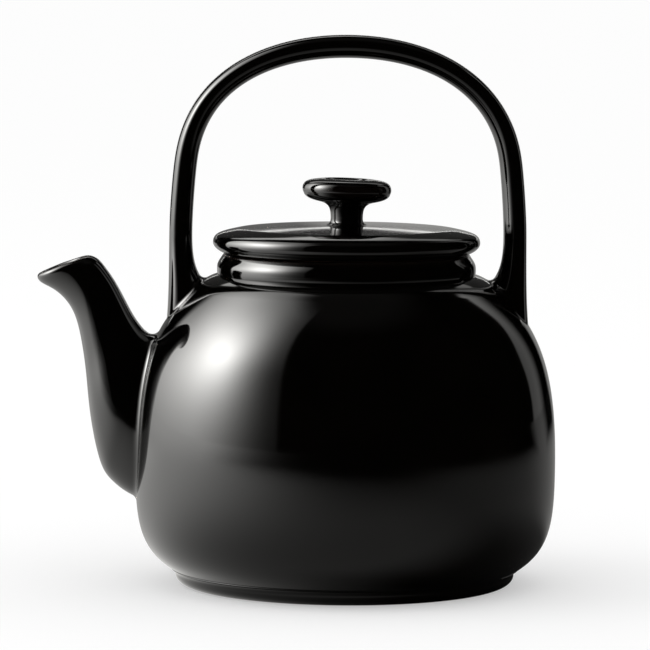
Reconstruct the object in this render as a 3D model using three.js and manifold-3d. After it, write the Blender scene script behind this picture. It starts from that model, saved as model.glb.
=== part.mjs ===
// Glazed stoneware teapot with an arched overhead handle and a loose lid.
// Millimetres, +Z up. The pot stands on z = 0, and the origin is the middle of its footprint:
// the spout points along -X, and the handle arches over the lid in the XZ plane.
//
// The pot is built as a potter builds it. The body, foot ring, neck collar and lid are thrown rings
// and bowls. The spout and the handle are shaped apart, trimmed to the curve of the body and luted
// on. A pierced dome inside the body holds back the leaves at the foot of the spout.

import * as THREE from 'three';
import { mergeVertices } from 'three/addons/utils/BufferGeometryUtils.js';
import Module from 'manifold-3d';

const wasm = await Module();
wasm.setup();

// Clearances
const LUTED_GAP = 0.3; // between a trimmed root and the curved wall that it is luted to
const LID_SEAT_GAP = 0.3; // between the collar's rim and the lid that rests on it
const LID_PLAY = 1.2; // between the locating ring and the bore of the neck
const WELD = 0.01; // points closer than this are one point

// Neck collar: a band round the mouth, drawn in towards its rim
const NECK_BORE_R = 46.5;
const COLLAR_WALL = 5.7; // at its fullest, low on the band
const COLLAR_RIM_WALL = 3.1;
const COLLAR_HEIGHT = 8.3;
const COLLAR_FOOT_TUCK = 0.5; // how far its foot draws in under the fullest part
const COLLAR_RIM_ROUND = 0.8;

// Body: a round belly on a slightly smaller foot, drawn in to a narrow ledge round the collar
const BELLY_R = 85;
const BELLY_Z = 51.8;
const BODY_WALL = 5;
const HEEL_R = 68.5; // crease between belly and foot ring
const LEDGE_BREADTH = 6.6; // from the collar out to where the shoulder turns down
const LEDGE_RISE = 2.8; // from that turn up to the foot of the collar
const SHOULDER_Z = 122.9; // height of that turn
const HEEL_SLOPE = THREE.MathUtils.degToRad(31); // belly against the table, at the heel
const SHOULDER_SLOPE = THREE.MathUtils.degToRad(42); // belly against the table, at the ledge

// How far each end of the belly's two curves pulls on it, as a share of the room it has
const HEEL_PULL = 1.15;
const LOW_BELLY_PULL = 0.61;
const HIGH_BELLY_PULL = 0.57;
const SHOULDER_PULL = 0.9;

// Foot ring
const FOOT_HEIGHT = 5.6;
const FOOT_STEP = 0.3; // how far the ring stands inside the heel crease
const FOOT_TAPER = 0.8; // how far its side draws in on the way down
const FOOT_WIDTH = 12;
const FOOT_EASE = 4.6; // breadth of the eased edge that meets the table
const FOOT_EASE_HEIGHT = 2.8;
const FOOT_INNER_ROUND = 1.5;

// Spout. Each station is a section from its front edge to its back edge, as [reach beyond the
// belly, height], and half its breadth. The first lies inside the body, the last is the mouth.
const SPOUT_STATIONS = [
  { front: [-12.0, 31.0], back: [-24.0, 88.0], breadth: 17.0 },
  { front: [1.6, 35.6], back: [-9.2, 97.6], breadth: 17.2 },
  { front: [9.6, 41.6], back: [-5.0, 101.3], breadth: 16.8 },
  { front: [14.4, 49.5], back: [-3.1, 102.9], breadth: 16.3 },
  { front: [18.3, 68.3], back: [0.3, 107.4], breadth: 14.5 },
  { front: [19.9, 84.5], back: [3.4, 112.9], breadth: 12.6 },
  { front: [22.0, 99.1], back: [7.3, 120.3], breadth: 11.2 },
  { front: [25.6, 111.1], back: [11.0, 126.0], breadth: 10.2 },
  { front: [32.6, 118.7], back: [14.4, 130.4], breadth: 10.0 },
  { front: [38.6, 121.9], back: [16.6, 132.0], breadth: 10.2 },
  { front: [40.3, 125.9], back: [18.6, 132.8], breadth: 10.1 },
];
const SPOUT_WALL = 4;
const SPOUT_FULLNESS = 0.16; // how much broader the lower front of the root is than its upper back

// Port through the wall behind the spout, and the pierced dome over it
const PORT_R = 12;
const PORT_Z = 66;
const STRAINER_SEAT = 4; // breadth of wall that the dome covers round the port
const STRAINER_RISE = 7;
const STRAINER_WALL = 3;
const STRAINER_HOLE_R = 1.6;
const STRAINER_PITCH = 4.9; // between rings of holes
const STRAINER_RINGS = 2;

// Overhead handle: an oval strap that spreads towards its feet. Its heights are taken from the
// turn of the shoulder that it stands on.
const HANDLE_SEAT = 0.506; // where its outer face stands, from the shoulder's turn to the belly
const HANDLE_THICKNESS = 9.3; // seen from the side, through the arch
const HANDLE_BREADTH = 17;
const HANDLE_FLARE_RISE = 18.1; // up to where a leg begins to spread into its foot
const HANDLE_SPRING_RISE = 47.1; // up to where the arch springs from the leg
const HANDLE_ARCH_RISE = 52.2; // from the springing to the top
const HANDLE_DRAW_IN = 1.8; // how far the leg leans in on the way up to the springing
const HANDLE_LEAN = THREE.MathUtils.degToRad(5.5); // of the leg, where the arch springs
const HANDLE_FOOT_SPREAD = 1.5; // outward flare of the outer face at the foot
const HANDLE_HEEL = 8; // inward flare of the inner face at the foot
const HANDLE_FOOT_BREADTH = 26;
const HANDLE_ROOT_DEPTH = 22; // how far the untrimmed strap's outer face runs down
const HANDLE_ROOT_RISE = 18; // how much higher its inner face ends

// How far the arch's curve holds to the level at its top and to the leg below
const ARCH_TOP_PULL = 0.51;
const ARCH_SIDE_PULL = 0.69;

// Lid: a low dome with a rolled rim that oversails the collar
const LID_OVERSAIL = 1.7;
const LID_RIM_THICKNESS = 7;
const LID_RIM_TUCK = 3.6; // how far the rim rounds in underneath, to its seat
const LID_ROLL_BREADTH = 7.9; // from the edge of the lid in to the edge of the dome
const LID_ROLL_ROUND = 3; // breadth of the rolled edge's rounded top
const LID_DOME_STEP = 1; // height of the dome's edge over the top of the rim
const LID_DOME_RISE = 3.3; // from the edge of the dome to the knob's seat
const LID_WALL = 5;
const VENT_R = 1.8; // steam hole behind the knob
const VENT_REACH = 24; // from the middle of the lid
const LOCATING_RING_DEPTH = 11;
const LOCATING_RING_WALL = 4;
const LOCATING_RING_ROUND = 1.4;

// Knob: a short stem under a flat, slightly dished cap
const KNOB_R = 18;
const KNOB_HEIGHT = 18.6;
const KNOB_CAP_THICKNESS = 10.4;
const KNOB_STEM_R = 6.5;
const KNOB_STEM_SPREAD = 0.8; // at the foot of the stem
const KNOB_DISH = 1.1;

// Facets
const ROUND_STEPS = 56;
const BELLY_STEPS = 8; // in each of the belly's two curves
const CAVITY_STEPS = 4;
const KNOB_STEPS = 28;
const STRAINER_STEPS = 24;
const STRAINER_HOLE_STEPS = 6;
const PORT_STEPS = 16;
const SPOUT_SIDES = 24;
const SPOUT_BORE_SIDES = 16;
const HANDLE_SIDES = 14;

// Places that follow from the sizes above
const COLLAR_R = NECK_BORE_R + COLLAR_WALL;
const COLLAR_SEAT_R = COLLAR_R - COLLAR_FOOT_TUCK;
const COLLAR_RIM_R = NECK_BORE_R + COLLAR_RIM_WALL;
const SHOULDER_R = COLLAR_R + LEDGE_BREADTH;
const NECK_SEAT_Z = SHOULDER_Z + LEDGE_RISE;
const COLLAR_RIM_Z = NECK_SEAT_Z + COLLAR_HEIGHT;
const LID_R = COLLAR_R + LID_OVERSAIL;
const LID_DOME_R = LID_R - LID_ROLL_BREADTH;
const LID_SEAT_Z = COLLAR_RIM_Z + LID_SEAT_GAP;
const LID_RIM_TOP_Z = LID_SEAT_Z + LID_RIM_THICKNESS;
const LID_DOME_EDGE_Z = LID_RIM_TOP_Z + LID_DOME_STEP;
const KNOB_SEAT_Z = LID_DOME_EDGE_Z + LID_DOME_RISE;
const LOCATING_RING_R = NECK_BORE_R - LID_PLAY;
const LOCATING_RING_BORE_R = LOCATING_RING_R - LOCATING_RING_WALL;
const STRAINER_R = PORT_R + STRAINER_SEAT;
const HANDLE_SPAN_R = THREE.MathUtils.lerp(SHOULDER_R, BELLY_R, HANDLE_SEAT);
const HANDLE_FLARE_Z = SHOULDER_Z + HANDLE_FLARE_RISE;
const HANDLE_SPRING_Z = SHOULDER_Z + HANDLE_SPRING_RISE;
const HANDLE_TOP_Z = HANDLE_SPRING_Z + HANDLE_ARCH_RISE;
const HANDLE_ROOT_Z = SHOULDER_Z - HANDLE_ROOT_DEPTH;
const SPOUT_REACH = SPOUT_STATIONS.at(-1).front[0];
const AXIS_X = SPOUT_REACH / 2; // puts the middle of the footprint on the origin

const GLAZE = { color: 0x0b0a09, roughness: 0.12, metalness: 0 };
const BARE_CLAY = { color: 0x2a211b, roughness: 0.7, metalness: 0 };

function point(r, z) {
  return new THREE.Vector2(r, z);
}

// Turns a closed outline of (radius, height) points round the pot's axis.
function turned(outline, steps = ROUND_STEPS) {
  const geometry = new THREE.LatheGeometry(outline, steps);
  geometry.rotateX(Math.PI / 2);
  return geometry;
}

// Moves every point of an open outline along its outward normal.
function offset(outline, distance) {
  return outline.map((here, i) => {
    const before = outline[Math.max(i - 1, 0)];
    const after = outline[Math.min(i + 1, outline.length - 1)];
    const along = after.clone().sub(before).normalize();
    return point(here.x + along.y * distance, here.y - along.x * distance);
  });
}

function toSolid(geometry) {
  const bare = geometry.clone();
  bare.deleteAttribute('normal');
  bare.deleteAttribute('uv');
  const merged = mergeVertices(bare, WELD / 10);
  const vertProperties = new Float32Array(merged.getAttribute('position').array);
  const triVerts = new Uint32Array(merged.getIndex().array);
  return new wasm.Manifold(new wasm.Mesh({ numProp: 3, vertProperties, triVerts }));
}

// Gives a cut solid back as a mesh, with the slivers that a cut leaves welded shut.
function toGeometry(solid) {
  const mesh = solid.getMesh();
  const cut = new THREE.BufferGeometry();
  cut.setAttribute('position', new THREE.BufferAttribute(mesh.vertProperties, 3));
  cut.setIndex(new THREE.BufferAttribute(mesh.triVerts, 1));
  const geometry = mergeVertices(cut, WELD);
  const corners = geometry.getIndex().array;
  const kept = [];
  for (let i = 0; i < corners.length; i += 3) {
    const [a, b, c] = corners.slice(i, i + 3);
    if (a !== b && b !== c && c !== a) {
      kept.push(a, b, c);
    }
  }
  geometry.setIndex(kept);
  return geometry;
}

// Skins a row of rings, each with as many points, and closes both ends on their middles.
function loft(rings) {
  const sides = rings[0].length;
  const positions = rings.flat().flatMap((p) => [p.x, p.y, p.z]);
  const index = [];
  for (let k = 0; k < rings.length - 1; k += 1) {
    for (let i = 0; i < sides; i += 1) {
      const a = k * sides + i;
      const b = k * sides + ((i + 1) % sides);
      index.push(a, b, a + sides);
      index.push(b, b + sides, a + sides);
    }
  }
  for (const [ring, flip] of [[0, true], [rings.length - 1, false]]) {
    const middle = new THREE.Vector3();
    rings[ring].forEach((p) => middle.addScaledVector(p, 1 / sides));
    const centre = positions.length / 3;
    positions.push(middle.x, middle.y, middle.z);
    for (let i = 0; i < sides; i += 1) {
      const a = ring * sides + i;
      const b = ring * sides + ((i + 1) % sides);
      index.push(...(flip ? [centre, b, a] : [centre, a, b]));
    }
  }
  const geometry = new THREE.BufferGeometry();
  geometry.setAttribute('position', new THREE.Float32BufferAttribute(positions, 3));
  geometry.setIndex(index);
  return geometry;
}

// An oval section in the plane of Y and the line from `near` to `far`, both given as (x, z).
// `fullness` makes it egg-shaped, with the broad end at `near`.
function ovalRing(near, far, breadth, fullness, sides) {
  const middle = near.clone().add(far).multiplyScalar(0.5);
  const half = near.clone().sub(far).multiplyScalar(0.5);
  const ring = [];
  for (let i = 0; i < sides; i += 1) {
    const angle = (i / sides) * 2 * Math.PI;
    const along = Math.cos(angle);
    const across = -Math.sin(angle) * breadth * (1 + fullness * along);
    ring.push(new THREE.Vector3(middle.x + half.x * along, across, middle.y + half.y * along));
  }
  return ring;
}

// The belly's outside, from the heel crease up to the ledge, in two curves of `steps` facets
function bellyOutline(steps) {
  const heelPull = (BELLY_R - HEEL_R) * HEEL_PULL;
  const shoulderPull = (BELLY_R - SHOULDER_R) * SHOULDER_PULL;
  const path = new THREE.Path();
  path.moveTo(HEEL_R, FOOT_HEIGHT);
  path.bezierCurveTo(
    HEEL_R + heelPull * Math.cos(HEEL_SLOPE), FOOT_HEIGHT + heelPull * Math.sin(HEEL_SLOPE),
    BELLY_R, BELLY_Z - (BELLY_Z - FOOT_HEIGHT) * LOW_BELLY_PULL,
    BELLY_R, BELLY_Z,
  );
  path.bezierCurveTo(
    BELLY_R, BELLY_Z + (SHOULDER_Z - BELLY_Z) * HIGH_BELLY_PULL,
    SHOULDER_R + shoulderPull * Math.cos(SHOULDER_SLOPE),
    SHOULDER_Z - shoulderPull * Math.sin(SHOULDER_SLOPE),
    SHOULDER_R, SHOULDER_Z,
  );
  return path.getPoints(steps);
}

// The space that the belly fills, grown or shrunk by `distance`, closed over the neck
function bellySpace(distance, steps) {
  const wall = offset(bellyOutline(steps), distance);
  const foot = wall[0];
  const top = wall.at(-1);
  return turned([point(0, foot.y), ...wall, point(0, top.y)]);
}

function bodyShell() {
  const inside = offset(bellyOutline(CAVITY_STEPS), -BODY_WALL).reverse();
  const ledgeUnder = NECK_SEAT_Z - BODY_WALL;
  const outline = [
    point(0, FOOT_HEIGHT),
    ...bellyOutline(BELLY_STEPS),
    point(COLLAR_SEAT_R, NECK_SEAT_Z),
    point(NECK_BORE_R, NECK_SEAT_Z),
    point(NECK_BORE_R, ledgeUnder),
    ...inside,
    point(0, inside.at(-1).y),
  ];
  const port = new THREE.CylinderGeometry(PORT_R, PORT_R, BODY_WALL * 4, PORT_STEPS);
  port.rotateZ(Math.PI / 2);
  port.translate(-BELLY_R, 0, PORT_Z);
  return toGeometry(toSolid(turned(outline)).subtract(toSolid(port)));
}

function footRing() {
  const top = HEEL_R - FOOT_STEP;
  const side = top - FOOT_TAPER;
  const inner = top - FOOT_WIDTH;
  const path = new THREE.Path();
  path.moveTo(inner, FOOT_INNER_ROUND);
  path.quadraticCurveTo(inner, 0, inner + FOOT_INNER_ROUND, 0);
  path.lineTo(side - FOOT_EASE, 0);
  path.quadraticCurveTo(side - FOOT_EASE * 0.2, 0, side, FOOT_EASE_HEIGHT);
  path.lineTo(top, FOOT_HEIGHT);
  path.lineTo(inner, FOOT_HEIGHT);
  path.lineTo(inner, FOOT_INNER_ROUND);
  return turned(path.getPoints(3));
}

function neckCollar() {
  const fullest = NECK_SEAT_Z + COLLAR_HEIGHT * 0.36;
  const path = new THREE.Path();
  path.moveTo(NECK_BORE_R, NECK_SEAT_Z);
  path.lineTo(COLLAR_SEAT_R, NECK_SEAT_Z);
  path.quadraticCurveTo(COLLAR_R, NECK_SEAT_Z + COLLAR_HEIGHT * 0.08, COLLAR_R, fullest);
  path.quadraticCurveTo(
    COLLAR_R, COLLAR_RIM_Z - COLLAR_HEIGHT * 0.28,
    COLLAR_RIM_R, COLLAR_RIM_Z - COLLAR_RIM_ROUND,
  );
  path.quadraticCurveTo(COLLAR_RIM_R, COLLAR_RIM_Z, COLLAR_RIM_R - COLLAR_RIM_ROUND, COLLAR_RIM_Z);
  path.lineTo(NECK_BORE_R, COLLAR_RIM_Z);
  path.lineTo(NECK_BORE_R, NECK_SEAT_Z);
  return turned(path.getPoints(3));
}

// A smooth curve through one edge of the spout's stations
function spoutEdge(edge) {
  const corners = SPOUT_STATIONS.map((s) => point(-(BELLY_R + s[edge][0]), s[edge][1]));
  return new THREE.SplineCurve(corners);
}

function spoutRings(inset, sides) {
  const front = spoutEdge('front');
  const back = spoutEdge('back');
  const breadths = SPOUT_STATIONS.map((s, i) => point(i, s.breadth));
  const breadth = new THREE.SplineCurve(breadths);
  const steps = (SPOUT_STATIONS.length - 1) * 2;
  const rings = [];
  for (let k = 0; k <= steps; k += 1) {
    const t = k / steps;
    const near = front.getPoint(t);
    const far = back.getPoint(t);
    const inward = far.clone().sub(near).normalize().multiplyScalar(inset);
    const fullness = SPOUT_FULLNESS * (1 - t);
    const half = breadth.getPoint(t).y - inset;
    rings.push(ovalRing(near.add(inward), far.sub(inward), half, fullness, sides));
  }
  return rings;
}

// Moves an end ring straight out of its own plane.
function pushRing(ring, distance) {
  const across = ring[0].clone().sub(ring[ring.length / 2]).normalize();
  const out = new THREE.Vector3(across.z, 0, -across.x).multiplyScalar(distance);
  ring.forEach((p) => p.add(out));
}

function spout() {
  const bore = spoutRings(SPOUT_WALL, SPOUT_BORE_SIDES);
  pushRing(bore[0], -SPOUT_WALL);
  pushRing(bore.at(-1), SPOUT_WALL);
  const outer = toSolid(loft(spoutRings(0, SPOUT_SIDES)));
  const trimmed = outer.subtract(toSolid(bellySpace(LUTED_GAP, BELLY_STEPS)));
  return toGeometry(trimmed.subtract(toSolid(loft(bore))));
}

// A dome over the port, its skirt trimmed to the inside of the wall
function spoutStrainer() {
  const domeR = (STRAINER_R ** 2 + STRAINER_RISE ** 2) / (2 * STRAINER_RISE);
  const open = Math.asin(STRAINER_R / domeR);
  const skirt = BODY_WALL;
  const path = new THREE.Path();
  path.moveTo(STRAINER_R - STRAINER_WALL, -skirt);
  path.lineTo(STRAINER_R, -skirt);
  path.lineTo(STRAINER_R, 0);
  path.absarc(0, STRAINER_RISE - domeR, domeR, Math.PI / 2 - open, Math.PI / 2, false);
  path.lineTo(0, STRAINER_RISE - STRAINER_WALL);
  const innerR = domeR - STRAINER_WALL;
  const innerOpen = Math.asin((STRAINER_R - STRAINER_WALL) / innerR);
  path.absarc(0, STRAINER_RISE - domeR, innerR, Math.PI / 2, Math.PI / 2 - innerOpen, true);
  path.lineTo(STRAINER_R - STRAINER_WALL, -skirt);
  let dome = toSolid(turned(path.getPoints(4), STRAINER_STEPS));
  const hole = new THREE.CylinderGeometry(
    STRAINER_HOLE_R, STRAINER_HOLE_R, domeR, STRAINER_HOLE_STEPS,
  );
  hole.rotateX(Math.PI / 2);
  hole.translate(0, 0, STRAINER_RISE);
  const drill = toSolid(hole);
  dome = dome.subtract(drill);
  for (let ring = 1; ring <= STRAINER_RINGS; ring += 1) {
    for (let i = 0; i < ring * 6; i += 1) {
      const angle = (i / (ring * 6)) * 2 * Math.PI;
      const r = ring * STRAINER_PITCH;
      dome = dome.subtract(drill.translate([r * Math.cos(angle), r * Math.sin(angle), 0]));
    }
  }
  const placed = toGeometry(dome);
  placed.rotateY(Math.PI / 2);
  placed.translate(-(BELLY_R - BODY_WALL), 0, PORT_Z);
  const cavity = toSolid(bellySpace(-(BODY_WALL + LUTED_GAP), CAVITY_STEPS));
  return toGeometry(toSolid(placed).intersect(cavity));
}

// One edge of half the strap, down the leg from the springing to the foot: `leg` is where it
// stands upright, and `foot` where it ends, below the skin of the shoulder
function legEdge(path, spring, leg, foot) {
  const upright = HANDLE_SPRING_Z - (leg - spring) / Math.tan(HANDLE_LEAN);
  path.quadraticCurveTo(leg, upright, leg, HANDLE_FLARE_Z);
  const drop = HANDLE_FLARE_Z - foot.y;
  path.bezierCurveTo(
    leg, HANDLE_FLARE_Z - drop * 0.5,
    THREE.MathUtils.lerp(leg, foot.x, 0.17), foot.y + drop * 0.2,
    foot.x, foot.y,
  );
}

// The same edge from the top of the arch, in one run of points
function handleEdge(top, spring, leg, foot) {
  const side = (top - HANDLE_SPRING_Z) * ARCH_SIDE_PULL;
  const path = new THREE.Path();
  path.moveTo(0, top);
  path.bezierCurveTo(
    spring * ARCH_TOP_PULL, top,
    spring - side * Math.sin(HANDLE_LEAN), HANDLE_SPRING_Z + side * Math.cos(HANDLE_LEAN),
    spring, HANDLE_SPRING_Z,
  );
  legEdge(path, spring, leg, foot);
  return path.getPoints(7);
}

function overheadHandle() {
  const innerLeg = HANDLE_SPAN_R - HANDLE_THICKNESS;
  const spring = HANDLE_SPAN_R - HANDLE_DRAW_IN;
  const innerSpring = spring - HANDLE_THICKNESS / Math.cos(HANDLE_LEAN);
  const outerFoot = point(HANDLE_SPAN_R + HANDLE_FOOT_SPREAD, HANDLE_ROOT_Z);
  const innerFoot = point(innerLeg - HANDLE_HEEL, HANDLE_ROOT_Z + HANDLE_ROOT_RISE);
  const outer = handleEdge(HANDLE_TOP_Z, spring, HANDLE_SPAN_R, outerFoot);
  const inner = handleEdge(HANDLE_TOP_Z - HANDLE_THICKNESS, innerSpring, innerLeg, innerFoot);
  const half = outer.map((p, i) => {
    const drop = (HANDLE_FLARE_Z - p.y) / (HANDLE_FLARE_Z - HANDLE_ROOT_Z);
    const spread = THREE.MathUtils.smoothstep(drop, 0, 1);
    const breadth = THREE.MathUtils.lerp(HANDLE_BREADTH, HANDLE_FOOT_BREADTH, spread) / 2;
    return { near: p, far: inner[i], breadth };
  });
  const mirrored = half.slice(1).reverse().map((s) => ({
    near: point(-s.near.x, s.near.y),
    far: point(-s.far.x, s.far.y),
    breadth: s.breadth,
  }));
  const sections = [...mirrored, ...half];
  const rings = sections.map((s) => ovalRing(s.near, s.far, s.breadth, 0, HANDLE_SIDES));
  const belly = toSolid(bellySpace(LUTED_GAP, BELLY_STEPS));
  return toGeometry(toSolid(loft(rings)).subtract(belly));
}

function lidPlate() {
  const path = new THREE.Path();
  path.moveTo(0, KNOB_SEAT_Z - LID_WALL);
  path.quadraticCurveTo(
    LOCATING_RING_BORE_R * 0.6, KNOB_SEAT_Z - LID_WALL,
    LOCATING_RING_BORE_R, LID_SEAT_Z + LID_RIM_THICKNESS * 0.3,
  );
  path.lineTo(LOCATING_RING_BORE_R, LID_SEAT_Z);
  path.lineTo(LID_R - LID_RIM_TUCK, LID_SEAT_Z);
  path.quadraticCurveTo(
    LID_R, LID_SEAT_Z + LID_RIM_THICKNESS * 0.1,
    LID_R, LID_SEAT_Z + LID_RIM_THICKNESS * 0.58,
  );
  path.quadraticCurveTo(LID_R, LID_RIM_TOP_Z, LID_R - LID_ROLL_ROUND, LID_RIM_TOP_Z);
  path.lineTo(LID_DOME_R, LID_DOME_EDGE_Z);
  path.quadraticCurveTo(LID_DOME_R * 0.5, KNOB_SEAT_Z, KNOB_STEM_R * 1.4, KNOB_SEAT_Z);
  path.lineTo(0, KNOB_SEAT_Z);
  const vent = new THREE.CylinderGeometry(VENT_R, VENT_R, LID_WALL * 3, STRAINER_HOLE_STEPS);
  vent.rotateX(Math.PI / 2);
  vent.translate(0, VENT_REACH, KNOB_SEAT_Z);
  return toGeometry(toSolid(turned(path.getPoints(3))).subtract(toSolid(vent)));
}

function lidFlange() {
  const foot = LID_SEAT_Z - LOCATING_RING_DEPTH;
  const path = new THREE.Path();
  path.moveTo(LOCATING_RING_BORE_R, LID_SEAT_Z);
  path.lineTo(LOCATING_RING_BORE_R, foot + LOCATING_RING_ROUND);
  path.quadraticCurveTo(LOCATING_RING_BORE_R, foot, LOCATING_RING_BORE_R + LOCATING_RING_ROUND, foot);
  path.lineTo(LOCATING_RING_R - LOCATING_RING_ROUND, foot);
  path.quadraticCurveTo(LOCATING_RING_R, foot, LOCATING_RING_R, foot + LOCATING_RING_ROUND);
  path.lineTo(LOCATING_RING_R, LID_SEAT_Z);
  path.lineTo(LOCATING_RING_BORE_R, LID_SEAT_Z);
  return turned(path.getPoints(2));
}

function lidKnob() {
  const top = KNOB_SEAT_Z + KNOB_HEIGHT;
  const capFoot = top - KNOB_CAP_THICKNESS;
  const stemFoot = KNOB_STEM_R + KNOB_STEM_SPREAD;
  const path = new THREE.Path();
  path.moveTo(0, KNOB_SEAT_Z);
  path.lineTo(stemFoot, KNOB_SEAT_Z);
  path.quadraticCurveTo(KNOB_STEM_R, KNOB_SEAT_Z, KNOB_STEM_R, KNOB_SEAT_Z + KNOB_STEM_SPREAD * 2);
  path.lineTo(KNOB_STEM_R, capFoot - KNOB_CAP_THICKNESS * 0.15);
  path.quadraticCurveTo(KNOB_STEM_R, capFoot, KNOB_R * 0.6, capFoot + KNOB_CAP_THICKNESS * 0.05);
  path.quadraticCurveTo(
    KNOB_R, capFoot + KNOB_CAP_THICKNESS * 0.2,
    KNOB_R, capFoot + KNOB_CAP_THICKNESS * 0.58,
  );
  path.quadraticCurveTo(KNOB_R, top, KNOB_R * 0.72, top);
  path.quadraticCurveTo(KNOB_R * 0.4, top, 0, top - KNOB_DISH);
  return turned(path.getPoints(4), KNOB_STEPS);
}

function piece(name, geometry, finish) {
  const mesh = new THREE.Mesh(geometry, new THREE.MeshStandardMaterial(finish));
  mesh.name = name;
  return mesh;
}

const pot = new THREE.Group();
pot.add(
  piece('body_shell', bodyShell(), GLAZE),
  piece('foot_ring', footRing(), BARE_CLAY),
  piece('neck_collar', neckCollar(), GLAZE),
  piece('spout', spout(), GLAZE),
  piece('spout_strainer', spoutStrainer(), GLAZE),
  piece('overhead_handle', overheadHandle(), GLAZE),
);

const lid = new THREE.Group();
lid.add(
  piece('lid_plate', lidPlate(), GLAZE),
  piece('lid_flange', lidFlange(), BARE_CLAY),
  piece('lid_knob', lidKnob(), GLAZE),
);

const teapot = new THREE.Group();
teapot.add(pot, lid);
teapot.position.x = AXIS_X;

export default teapot;
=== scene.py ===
"""Glazed stoneware teapot with an arched overhead handle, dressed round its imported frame.

Each piece is rebuilt as the smooth form that the potter made: thrown rings and bowls turned from
softened outlines, and a spout and a handle swept through oval sections and luted to the belly with
a rolled fillet of glaze. Sizes are in millimetres from the pot's own axis and from the table, and
one function turns them into the frame's metres.
"""

import logging
import math
from dataclasses import dataclass, field
from enum import Enum

import bpy
import numpy as np
from bpy.types import Material, Node, NodeTree, Object
from mathutils import Matrix, Vector


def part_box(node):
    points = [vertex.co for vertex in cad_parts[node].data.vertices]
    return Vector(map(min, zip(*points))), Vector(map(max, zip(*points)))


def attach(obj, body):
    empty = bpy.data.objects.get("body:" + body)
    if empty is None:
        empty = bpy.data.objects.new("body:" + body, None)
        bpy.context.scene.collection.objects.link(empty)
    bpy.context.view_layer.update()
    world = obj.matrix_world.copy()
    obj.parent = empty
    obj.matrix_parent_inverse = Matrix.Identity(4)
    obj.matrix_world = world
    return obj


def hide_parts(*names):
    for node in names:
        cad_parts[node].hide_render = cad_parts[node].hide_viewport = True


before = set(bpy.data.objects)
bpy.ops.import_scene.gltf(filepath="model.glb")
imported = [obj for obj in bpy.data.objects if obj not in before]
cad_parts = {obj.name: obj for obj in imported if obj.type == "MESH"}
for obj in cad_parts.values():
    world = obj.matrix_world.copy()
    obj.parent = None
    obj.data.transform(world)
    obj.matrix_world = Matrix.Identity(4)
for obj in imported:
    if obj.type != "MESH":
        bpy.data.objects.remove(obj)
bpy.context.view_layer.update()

log = logging.getLogger("teapot")

Array = np.ndarray
Pair = tuple[float, float]

MM = 0.001


class Facets(Enum):
    """How finely the smooth forms are cut up."""

    ROUND = 300
    SMALL_ROUND = 144
    SPOUT_SIDES = 72
    HANDLE_SIDES = 56
    CURVE = 48
    SOFT_CORNER = 9
    FILLET = 9


class Body(Enum):
    """The two things that come apart."""

    POT = "pot"
    LID = "lid"


def linear(hex_colour: str) -> tuple[float, float, float, float]:
    """Turns an sRGB hex colour into the linear colour that a shader takes.

    Args:
        hex_colour: a colour such as "#0A0908".

    Returns:
        Red, green, blue and an alpha of 1.
    """
    digits = hex_colour.lstrip("#")
    shares = [int(digits[i:i + 2], 16) / 255 for i in (0, 2, 4)]
    curve = [s / 12.92 if s <= 0.04045 else ((s + 0.055) / 1.055) ** 2.4 for s in shares]
    return (curve[0], curve[1], curve[2], 1.0)


def add_node(tree: NodeTree, kind: str, settings: dict | None = None,
             values: dict | None = None, links: dict | None = None) -> Node:
    """Adds one shader node with its settings, its sockets' values and its links.

    Args:
        tree: the node tree.
        kind: the node's type name.
        settings: attributes of the node.
        values: socket name or number to value.
        links: socket name or number to the output that feeds it.

    Returns:
        The new node.
    """
    node = tree.nodes.new(kind)
    for name, value in (settings or {}).items():
        setattr(node, name, value)
    for socket, value in (values or {}).items():
        node.inputs[socket].default_value = value
    for socket, source in (links or {}).items():
        tree.links.new(source, node.inputs[socket])
    return node


def new_material(name: str) -> tuple[Material, NodeTree]:
    """Makes an empty node material.

    Args:
        name: the material's name.

    Returns:
        The material and its cleared node tree.
    """
    material = bpy.data.materials.new(name)
    material.use_nodes = True
    material.node_tree.nodes.clear()
    return material, material.node_tree


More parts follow.
